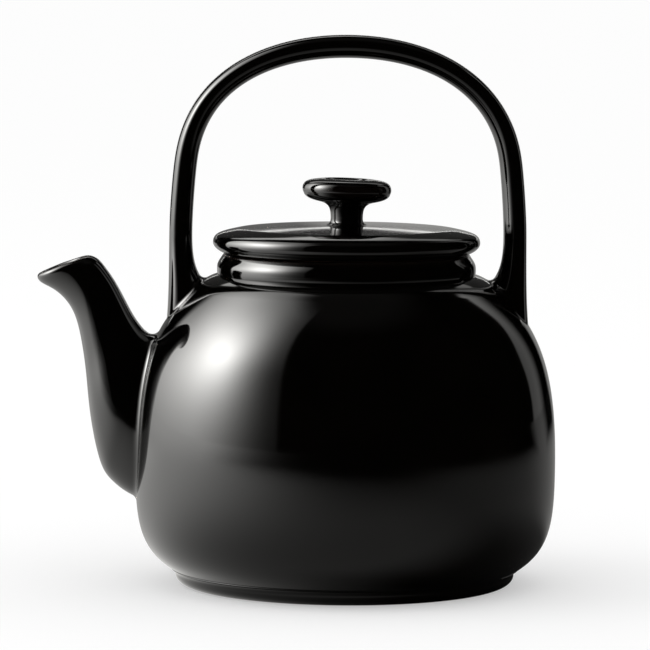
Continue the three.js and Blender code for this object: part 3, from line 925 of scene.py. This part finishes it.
@dataclass
class Handle:
    """Overhead handle: a pulled strap in one arch, its feet spread and luted to the shoulder."""

    belly: Belly
    top_z: float
    thickness: float = 9.3
    breadth: float = 17.0
    foot_breadth: float = 26.0
    spring_r: float = 70.24
    spring_z: float = 170.0
    inner_spring_r: float = 61.0
    lean: float = math.radians(5.5)
    span_r: float = 72.05
    flare_z: float = 141.0
    foot_r: float = 73.8
    foot_z: float = 100.0
    inner_foot_r: float = 53.2
    inner_foot_z: float = 118.9
    fillet: float = 2.6
    flatness: Pair = (2.7, 2.2)
    fullness: float = 0.05
    sway: float = 0.5
    arch_hold: float = 0.5
    inner_arch_hold: float = 0.523
    spring_hold: float = 0.69
    leg_hold: float = 0.5
    foot_hold: Pair = (0.17, 0.2)
    leg_steps: int = 150
    ease: float = 6.0
    sink: float = 1.0
    leg_places: int = 190

    @classmethod
    def from_frame(cls, belly: Belly) -> "Handle":
        """Reads the handle's height from the frame."""
        return cls(belly, top_z=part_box("overhead_handle")[1].z / MM)

    def edge(self, top: float, spring: float, leg: float, foot: Pair,
             hold: float) -> Array:
        """Half of one edge, from the top of the arch down into the shoulder.

        Args:
            top: height at the middle of the arch.
            spring: radius where the arch springs from the leg.
            leg: radius where the leg stands upright.
            foot: where the edge ends, inside the belly.
            hold: how far the arch holds to the level, as a share of the spring's radius.

        Returns:
            Points as (x, z), in steps shared by both edges.
        """
        side = (top - self.spring_z) * self.spring_hold
        upright = self.spring_z - (leg - spring) / math.tan(self.lean)
        outline = Outline((0, top))
        outline.curve((spring * hold, top),
                      (spring - side * math.sin(self.lean),
                       self.spring_z + side * math.cos(self.lean)),
                      (spring, self.spring_z), self.leg_steps)
        outline.curve(blend((spring, self.spring_z), (leg, upright), 2 / 3),
                      blend((leg, self.flare_z), (leg, upright), 2 / 3),
                      (leg, self.flare_z), self.leg_steps // 3)
        drop = self.flare_z - foot[1]
        outline.curve((leg, self.flare_z - drop * self.leg_hold),
                      (between((leg, foot[0]), self.foot_hold[0]),
                       foot[1] + drop * self.foot_hold[1]), foot, self.leg_steps // 2)
        return np.array(outline.points)

    def skin(self) -> Skin:
        """The whole strap with both feet luted on, closed inside the shoulder."""
        outer = self.edge(self.top_z, self.spring_r, self.span_r, (self.foot_r, self.foot_z),
                          self.arch_hold)
        inner = self.edge(self.top_z - self.thickness, self.inner_spring_r,
                          self.span_r - self.thickness,
                          (self.inner_foot_r, self.inner_foot_z), self.inner_arch_hold)
        mirror = np.array([-1.0, 1.0])
        near, far = (eased(np.concatenate([half[:0:-1] * mirror, half]), self.ease)
                     for half in (outer, inner))
        spread = smoothstep((self.flare_z - near[:, 1]) / (self.flare_z - self.foot_z))
        breadth = between((self.breadth, self.foot_breadth), spread)
        rows = section(near, far, breadth / 2, Facets.HANDLE_SIDES.value, self.fullness,
                       self.flatness)
        settled = smoothstep((self.top_z - near[:, 1]) / (self.top_z - self.spring_z))
        rows[..., 0] += self.sway * settled[:, None]
        outward = swept_normals(rows)
        wall = Wall(self.belly.skin_section())
        middle = len(outer) - 1
        right, left = (wall.lute(rows[leg], outward[leg], self.fillet, self.leg_places, self.sink)
                       for leg in (slice(middle, None), slice(middle, None, -1)))
        grid = np.concatenate([left[:0:-1], right])
        return outward_skin(weave(grid, np.zeros(grid.shape[:2]), close_rows=False, caps=True))


def blend(one: Pair, two: Pair, share: float) -> Pair:
    """The point a share of the way from one point to another."""
    return (between((one[0], two[0]), share), between((one[1], two[1]), share))


@dataclass
class Lid:
    """Lid plate, its locating ring and its knob."""

    seat_z: float
    knob_seat_z: float
    knob_top_z: float
    lid_r: float
    knob_r: float
    roll_z: float = 4.2
    dome_r: float = 42.0
    dome_rise: float = 1.38
    face_step: float = 0.5
    face_ease: float = 1.6
    ring_bore_r: float = 41.3
    ring_r: float = 45.3
    ring_depth: float = 11.0
    stem_r: float = 6.5
    cap_height: float = 10.4
    dish: float = 1.1
    swirl: float = 0.12
    swirl_pitch: float = 4.5
    swirl_r: float = 12.0
    knob_tilt: float = math.radians(1.5)

    @classmethod
    def from_frame(cls) -> "Lid":
        """Reads the driving sizes from the frame."""
        plate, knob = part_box("lid_plate"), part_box("lid_knob")
        return cls(
            seat_z=plate[0].z / MM,
            knob_seat_z=plate[1].z / MM,
            knob_top_z=knob[1].z / MM,
            lid_r=(plate[1].y - plate[0].y) / 2 / MM,
            knob_r=(knob[1].y - knob[0].y) / 2 / MM,
        )

    def plate(self) -> Skin:
        """Plate with a low dome, a sloping skirt round it and a rolled rim."""
        seat, rim, crown = self.seat_z, self.lid_r, self.knob_seat_z
        outline = Outline((0, crown - 5.2))
        outline.curve((14, crown - 5.2), (30, seat + 3.4), (self.ring_bore_r, seat + 1.9), 20)
        outline.line(self.ring_bore_r, seat).soften(0.5)
        outline.line(rim - 4.9, seat).soften(0.8, 0.3)
        outline.curve((rim - 2.9, seat + 0.35), (rim, seat + 2.2), (rim, seat + self.roll_z), 20)
        outline.curve((rim, seat + 6.0), (rim - 0.9, seat + 6.97), (rim - 1.9, seat + 7.55), 24)
        face = Outline((rim - 1.9, seat + 7.55))
        face.curve((rim - 3.3, seat + 8.36), (rim - 6.4, seat + 8.94),
                   (rim - 8.3, seat + 9.4), 24)
        face.curve((rim - 9.4, seat + 9.66), (rim - 10.7, seat + 9.83),
                   (self.dome_r, crown - self.dome_rise), 16)
        face.curve((28.0, crown - self.dome_rise + 0.66), (12.0, crown), (0, crown))
        even = resampled(np.array(face.points), self.face_step)
        outline.points.extend(eased(even, self.face_ease)[1:])
        return turned(outline)

    def ring(self) -> Skin:
        """Locating ring that drops into the neck."""
        foot = self.seat_z - self.ring_depth
        outline = Outline((self.ring_bore_r, self.seat_z)).line(self.ring_bore_r, foot).soften(1.4)
        outline.line(self.ring_r - 0.3, foot).soften(1.4)
        outline.line(self.ring_r, self.seat_z).line(self.ring_bore_r, self.seat_z)
        return turned(outline)

    def knob(self) -> Skin:
        """Knob: waisted stem, thick cap and the shallow spiral that the fingertip left."""
        top, base = self.knob_top_z, self.knob_seat_z
        cap = top - self.cap_height
        outline = Outline((0, base - 0.5)).line(self.stem_r + 1.6, base + 0.2)
        outline.curve((self.stem_r + 0.4, base + 0.6), (self.stem_r, base + 1.2),
                      (self.stem_r, base + 2.6), 12)
        outline.curve((self.stem_r, cap - 1.2), (self.stem_r + 0.9, cap + 0.2),
                      (11.0, cap + 1.1), 16)
        outline.curve((14.2, cap + 1.75), (17.0, cap + 2.6), (self.knob_r - 0.5, cap + 4.6), 16)
        outline.curve((self.knob_r + 0.05, cap + 5.6), (self.knob_r + 0.05, cap + 6.9),
                      (self.knob_r - 0.5, cap + 7.9), 12)
        outline.curve((self.knob_r - 1.1, cap + 9.1), (15.4, cap + 9.7), (13.0, top - 0.4), 16)
        outline.curve((11.2, top - 0.1), (9.6, top + 0.1), (8.2, top - 0.4), 10)
        outline.curve((5.5, top - 1.3), (2.6, top - self.dish), (0, top - self.dish), 14)
        skin = turned(outline, Facets.SMALL_ROUND)
        radius = np.hypot(skin.corners[:, 0], skin.corners[:, 1])
        angle = np.arctan2(skin.corners[:, 1], skin.corners[:, 0])
        on_top = (skin.corners[:, 2] > top - 2 * self.dish) & (radius < self.swirl_r)
        swirl = self.swirl * np.sin(angle - radius * 2 * math.pi / self.swirl_pitch)
        swirl *= smoothstep(radius / 3) * smoothstep((self.swirl_r - radius) / 4)
        skin.corners[:, 2] += np.where(on_top, swirl, 0)
        raised = smoothstep((skin.corners[:, 2] - base) / 8)
        skin.corners[:, 2] -= raised * skin.corners[:, 0] * math.tan(self.knob_tilt)
        skin.thin[:] = 0.3 * smoothstep((radius - self.knob_r + 1.5) / 1.5)
        return skin


@dataclass(frozen=True)
class Glow:
    """What the glaze mirrors, as the strength of the light that comes from each way.

    The photograph's background was cut out to white, but its glaze still mirrors the studio, and
    that studio is painted in as a reflection: one lamp behind a wide screen on the spout's side, a
    grey card behind on the other side, dark elsewhere, and a table that is bright towards the lamp
    and carries a painted shadow of the pot on the far side.
    Angles are in degrees, turned from the camera towards the spout's side, and lengths on the
    table are in millimetres from the pot's axis. A pair is a value's two ends.
    """

    lamp_strength: float = 35.7
    lamp_turn: float = 80.8
    lamp_rise: float = 32.0
    lamp_power: float = 1.51
    front_reach: Pair = (27.0, 19.0)
    rear_reach: Pair = (35.0, 24.7)
    upper_reach: float = 19.4
    lower_reach: float = 22.0
    screen_fade: Pair = (37.0, 96.5)
    screen_edge: float = 37.0
    screen_lean: float = 8.0
    screen_blur: float = 1.8
    screen_dim: float = 0.1
    screen_top: Pair = (68.0, 79.7)
    screen_end: Pair = (145.5, 138.5)
    ceiling: float = 0.06
    ceiling_rise: Pair = (58.0, 76.0)
    card_edge: Pair = (-124.5, -131.5)
    card_lean: Pair = (13.0, 31.0)
    card_blur: float = 1.5
    card_end: Pair = (-145.0, -134.0)
    card_strength: Pair = (0.4, 1.1)
    card_rise: Pair = (42.0, 46.0)
    card_foot_turn: Pair = (118.0, 128.0)
    rear_strength: Pair = (0.11, 0.32)
    rear_turn: Pair = (155.0, 159.0)
    rear_rise: Pair = (9.6, 10.6)
    rail_strength: float = 3.4
    rail_rise: float = 10.3
    rail_half: float = 0.32
    dusk: float = 0.05
    dusk_fade: float = 8.0
    panel_strength: float = 1.6
    panel_rise: Pair = (30.5, 38.0)
    panel_turn: Pair = (148.0, 156.0)
    panel_dim: float = 0.65
    panel_dim_turn: Pair = (178.0, 187.0)
    table_strength: float = 5.7
    table_reach: float = 650.0
    table_turn: float = 83.0
    table_front_width: Pair = (44.0, 24.0)
    table_narrowing: Pair = (400.0, 900.0)
    table_rear_width: float = 46.0
    table_power: float = 1.9
    front_light: float = 0.37
    front_fade: Pair = (165.0, 665.0)
    side_light: float = 0.23
    side_fade: Pair = (460.0, 860.0)
    side_turn: Pair = (20.0, 70.0)
    far_light: float = 0.3
    far_fade: Pair = (500.0, 900.0)
    far_turn: Pair = (105.0, 130.0)
    under_belly: Pair = (55.0, 91.0)
    under_turn: Pair = (-60.0, 0.0)
    foot_shade: Pair = (62.0, 68.5)
    foot_dark: float = 0.9
    shade_half_width: float = 82.0
    shade_blur: float = 9.0
    shade_spread: float = 0.27
    shade_start: Pair = (-30.0, 30.0)
    shade_end: Pair = (20.0, 305.0)

    def of_sky(self, turn: Array, rise: Array) -> Array:
        """Light from above the table.

        Args:
            turn: the way round.
            rise: the angle over the level.

        Returns:
            Strengths, where 1 is white paper.
        """
        lift = smoothstep(rise / self.lamp_rise)
        off_turn = (turn - self.lamp_turn) * np.cos(np.radians(rise))
        off_rise = rise - self.lamp_rise
        across = off_turn / np.where(off_turn < 0, between(self.front_reach, lift),
                                     between(self.rear_reach, lift))
        up = off_rise / np.where(off_rise > 0, self.upper_reach, self.lower_reach)
        lamp = self.lamp_strength * np.exp(-np.hypot(across, up) ** self.lamp_power)
        lamp *= between((self.screen_dim, 1.0), ramp(turn, *self.screen_fade))
        screen = self.screen_edge + self.screen_lean * (rise / 60) ** 2
        lamp *= ramp(turn, screen - self.screen_blur, screen + self.screen_blur)
        lamp *= ramp(turn, *self.screen_end) * (1 - ramp(rise, *self.screen_top))
        ceiling = self.ceiling * ramp(rise, *self.ceiling_rise)
        side = between(self.card_edge, ramp(rise, *self.card_lean))
        card = np.clip((side - turn) / self.card_blur, 0, 1) * ramp(turn, *self.card_end)
        card *= self.card_strength[0] + self.card_strength[1] * (rise / self.card_rise[0]) ** 3
        card *= 1 - ramp(rise, *self.card_rise)
        return lamp + ceiling + card + self.behind(turn, rise)

    def behind(self, turn: Array, rise: Array) -> Array:
        """Light from straight behind: a grey backdrop, the rail it hangs from and a far panel.

        Args:
            turn: the way round.
            rise: the angle over the level.

        Returns:
            Strengths, where 1 is white paper.
        """
        dim_side, lit_side = self.rear_strength
        drop = np.where(turn < 0, lit_side, dim_side) * (1 - ramp(rise, *self.rear_rise))
        off_rail = np.abs(rise - self.rail_rise) / self.rail_half
        rail = self.rail_strength * np.clip(1 - off_rail, 0, 1)
        low, high = self.panel_rise
        panel = self.panel_strength * ramp(rise, low - 1, low + 1)
        panel *= (1 - ramp(rise, high - 1, high + 1)) * ramp(np.abs(turn), *self.panel_turn)
        panel *= 1 - self.panel_dim * ramp(turn % 360, *self.panel_dim_turn)
        dusk = self.dusk * (1 - ramp(rise, high, high + self.dusk_fade))
        return (drop + rail + dusk) * ramp(np.abs(turn), *self.rear_turn) + panel

    def of_table(self, turn: Array, reach: Array) -> Array:
        """Painted light and painted shade of the table, as the glaze mirrors it.

        Args:
            turn: the way round.
            reach: millimetres from the pot's axis.

        Returns:
            Strengths, where 1 is white paper.
        """
        off = np.where(turn < self.table_turn - 180, turn + 360, turn) - self.table_turn
        front_width = between(self.table_front_width, ramp(reach, *self.table_narrowing))
        width = np.where(off > 0, self.table_rear_width, front_width)
        lamp = self.table_strength * (1 - np.exp(-reach / self.table_reach))
        lamp = lamp * np.exp(-np.abs(off / width) ** self.table_power)
        front = self.front_light * (1 - ramp(reach, *self.front_fade))
        side = self.side_light * (1 - ramp(reach, *self.side_fade))
        rest = between((front, side), ramp(-turn, *self.side_turn))
        far = ramp(np.abs(turn), *self.far_turn) * (1 - ramp(reach, *self.far_fade))
        rest = between((rest, self.far_light), far)
        card = self.far_light * ramp(-turn, *self.card_foot_turn) * ramp(turn, *self.card_end)
        rest = np.maximum(rest, card)
        rest = between((rest, self.rear_strength[1]), ramp(np.abs(turn), *self.rear_turn))
        # Painted shade: the mirrored table is darkened under the belly's overhang and in a ring
        # round the foot.
        shaded = (1 - ramp(reach, *self.under_belly)) * ramp(-turn, *self.under_turn)
        shaded = np.maximum(shaded, self.foot_dark * (1 - ramp(reach, *self.foot_shade)))
        return (lamp + rest * (1 - self.shade(turn, reach))) * (1 - shaded)

    def shade(self, turn: Array, reach: Array) -> Array:
        """Painted shadow: the pot's own soft shadow on the mirrored table, away from the lamp.

        Args:
            turn: the way round.
            reach: millimetres from the pot's axis.

        Returns:
            Depth of the shadow, from 0 to 1.
        """
        x, y = -reach * np.sin(np.radians(turn)), -reach * np.cos(np.radians(turn))
        soft = np.maximum(self.shade_blur + self.shade_spread * x, self.shade_blur)
        inside = ramp(self.shade_half_width + soft - np.abs(y), 0, 2 * soft)
        return inside * ramp(x, *self.shade_start) * (1 - ramp(x, *self.shade_end))


@dataclass
class Studio:
    """Pale table, what the glaze mirrors, a lamp and the camera."""

    axis_x: float
    glow: Glow = field(default_factory=Glow)
    camera_distance: float = 1900.0
    camera_height: float = 274.0
    camera_shift_x: float = -8.5
    aim_z: float = 105.0
    roll: float = math.radians(0.35)
    lens: float = 261.5
    table_colour: str = "#D0D0D0"
    table_light: float = 0.4
    table_reach: float = 16000.0
    room_reach: float = 2600.0
    room_floor: float = 0.3
    world_strength: float = 0.92
    lamp_size: float = 1200.0
    lamp_watts: float = 4.0
    lamp_place: tuple[float, float, float] = (-1400.0, -200.0, 1300.0)

    def camera(self) -> None:
        """Sets the camera where the photograph was taken from."""
        data = bpy.data.cameras.new("photo_camera")
        data.lens = self.lens
        data.sensor_width = 36
        camera = bpy.data.objects.new("photo_camera", data)
        x = self.axis_x + self.camera_shift_x * MM
        pitch = math.atan2(self.camera_height - self.aim_z, self.camera_distance)
        turn = Matrix.Rotation(math.pi / 2 - pitch, 4, "X") @ Matrix.Rotation(self.roll, 4, "Z")
        place = Matrix.Translation((x, -self.camera_distance * MM, self.camera_height * MM))
        camera.matrix_world = place @ turn
        bpy.context.scene.collection.objects.link(camera)
        bpy.context.scene.camera = camera
        bpy.context.scene.view_settings.view_transform = "Standard"

    def world(self) -> None:
        """An even pale surround."""
        world = bpy.data.worlds.new("pale_surround")
        bpy.context.scene.world = world
        world.use_nodes = True
        world.node_tree.nodes.clear()
        pale = add_node(world.node_tree, "ShaderNodeBackground", {},
                        {"Color": linear("#FFFFFF"), "Strength": self.world_strength})
        add_node(world.node_tree, "ShaderNodeOutputWorld", {}, {},
                 {"Surface": pale.outputs["Background"]})

    def sheet(self, name: str, corners: Array, faces: list[tuple[int, ...]],
              material: Material) -> Object:
        """Adds a stage sheet.

        Args:
            name: its name.
            corners: its corners, in millimetres from the pot's axis.
            faces: its faces.
            material: its finish.

        Returns:
            The object.
        """
        mesh = bpy.data.meshes.new(name)
        mesh.from_pydata((corners * MM + np.array([self.axis_x, 0, 0])).tolist(), [], faces)
        mesh.materials.append(material)
        sheet = bpy.data.objects.new(name, mesh)
        bpy.context.scene.collection.objects.link(sheet)
        return sheet

    def table(self) -> None:
        """Opal table top, lit a little from below, so that the pot's shadow stays light."""
        material, tree = new_material("opal_table")
        matt = add_node(tree, "ShaderNodeBsdfDiffuse", {}, {"Color": linear(self.table_colour)})
        lit = add_node(tree, "ShaderNodeEmission", {},
                       {"Color": linear("#FFFFFF"), "Strength": self.table_light})
        both = add_node(tree, "ShaderNodeAddShader", {}, {},
                        {0: matt.outputs["BSDF"], 1: lit.outputs["Emission"]})
        add_node(tree, "ShaderNodeOutputMaterial", {}, {}, {"Surface": both.outputs["Shader"]})
        reach = self.table_reach
        corners = np.array([(-reach, -reach, 0), (reach, -reach, 0), (reach, reach, 0),
                            (-reach, reach, 0)])
        self.sheet("opal_table", corners, [(0, 1, 2, 3)], material)

    def mirrored_room(self) -> None:
        """The dark studio and its light, shown in the glaze and nowhere else."""
        # Painted reflection: this sheet glows though it is no lamp, and only glossy rays see it.
        material, tree = new_material("mirrored_room")
        strength = add_node(tree, "ShaderNodeAttribute", {"attribute_name": "glow"})
        light = add_node(tree, "ShaderNodeEmission", {}, {"Color": linear("#FFFEFB")},
                         {"Strength": strength.outputs["Fac"]})
        add_node(tree, "ShaderNodeOutputMaterial", {}, {}, {"Surface": light.outputs["Emission"]})
        material.cycles.emission_sampling = "NONE"
        turn = np.arange(-180, 180, 1.0)
        reach = np.geomspace(20, self.room_reach, 70)
        rise = np.concatenate([np.arange(0.25, 46, 0.5), np.arange(46.5, 90, 1.0)])
        table_turn, table_reach = np.meshgrid(turn, reach)
        sky_turn, sky_rise = np.meshgrid(turn, rise)
        wide = np.vstack([table_reach, self.room_reach * np.cos(np.radians(sky_rise))])
        high = np.vstack([table_reach * 0 + self.room_floor,
                          self.room_reach * np.sin(np.radians(sky_rise)) + self.room_floor])
        around = np.radians(np.vstack([table_turn, sky_turn]))
        grid = np.stack([-wide * np.sin(around), -wide * np.cos(around), high], axis=-1)
        glow = np.vstack([self.glow.of_table(table_turn, table_reach),
                          self.glow.of_sky(sky_turn, sky_rise)])
        skin = weave(grid, glow, close_rows=False, caps=True)
        room = self.sheet("mirrored_room", skin.corners, skin.faces, material)
        strengths = room.data.attributes.new("glow", "FLOAT", "POINT")
        strengths.data.foreach_set("value", skin.thin.astype(np.float32))
        room.visible_camera = False
        room.visible_diffuse = False
        room.visible_shadow = False
        room.visible_transmission = False

    def lamp(self) -> None:
        """One soft lamp on the spout's side, for the shadow beside the pot."""
        data = bpy.data.lights.new("soft_lamp", "AREA")
        data.shape = "RECTANGLE"
        data.size = data.size_y = self.lamp_size * MM
        data.energy = self.lamp_watts
        lamp = bpy.data.objects.new("soft_lamp", data)
        place = Vector(self.lamp_place) * MM + Vector((self.axis_x, 0, 0))
        lamp.location = place
        lamp.rotation_mode = "QUATERNION"
        lamp.rotation_quaternion = (-place).to_track_quat("-Z", "Y")
        lamp.visible_glossy = False
        bpy.context.scene.collection.objects.link(lamp)


def fit(piece: Object, body: Body, node: str) -> None:
    """Puts a piece in its CAD node's place.

    Args:
        piece: the piece.
        body: what it rides on.
        node: the CAD node that it stands for.
    """
    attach(piece, body.value)
    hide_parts(node)
    log.info("%s: %d corners, rides on %s", piece.name, len(piece.data.vertices), body.value)


def bare_underside(piece: Object, clay: Material, below: float) -> None:
    """Leaves the faces that look down bare of glaze.

    Args:
        piece: the piece.
        clay: the bare clay.
        below: height under which such faces are bare, in metres.
    """
    piece.data.materials.append(clay)
    for polygon in piece.data.polygons:
        if polygon.normal.z < -0.99 and polygon.center.z < below:
            polygon.material_index = 1


def main() -> None:
    """Builds the teapot and its stage."""
    logging.basicConfig(level=logging.INFO, format="%(name)s %(message)s")
    foot_low, foot_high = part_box("foot_ring")
    axis_x = (foot_low.x + foot_high.x) / 2
    glaze = BlackGlaze().material()
    clay = BareStoneware().material()

    belly, lid = Belly.from_frame(), Lid.from_frame()
    pieces = (
        ("glazed_belly", belly.shell(), glaze, Body.POT, "body_shell", "glazed_body"),
        ("glazed_foot_ring", belly.foot(), glaze, Body.POT, "foot_ring", "foot_clay"),
        ("glazed_collar", belly.collar(), glaze, Body.POT, "neck_collar", "glazed_body"),
        ("glazed_spout", Spout(belly).skin(), glaze, Body.POT, "spout", "glazed_spout"),
        ("glazed_handle", Handle.from_frame(belly).skin(), glaze, Body.POT, "overhead_handle",
         "glazed_handle"),
        ("glazed_lid", lid.plate(), glaze, Body.LID, "lid_plate", "glazed_lid"),
        ("bare_locating_ring", lid.ring(), clay, Body.LID, "lid_flange", "flange_clay"),
        ("glazed_knob", lid.knob(), glaze, Body.LID, "lid_knob", "glazed_knob"),
    )
    for name, skin, finish, body, node, slot in pieces:
        piece = skin.to_object(name, axis_x, finish)
        if node == "foot_ring":
            bare_underside(piece, clay, belly.foot_height * MM / 2)
        fit(piece, body, node)

    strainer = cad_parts["spout_strainer"]
    strainer.data.materials.clear()
    strainer.data.materials.append(glaze)

    studio = Studio(axis_x)
    studio.camera()
    studio.world()
    studio.table()
    studio.mirrored_room()
    studio.lamp()


if __name__ == "__main__":
    main()
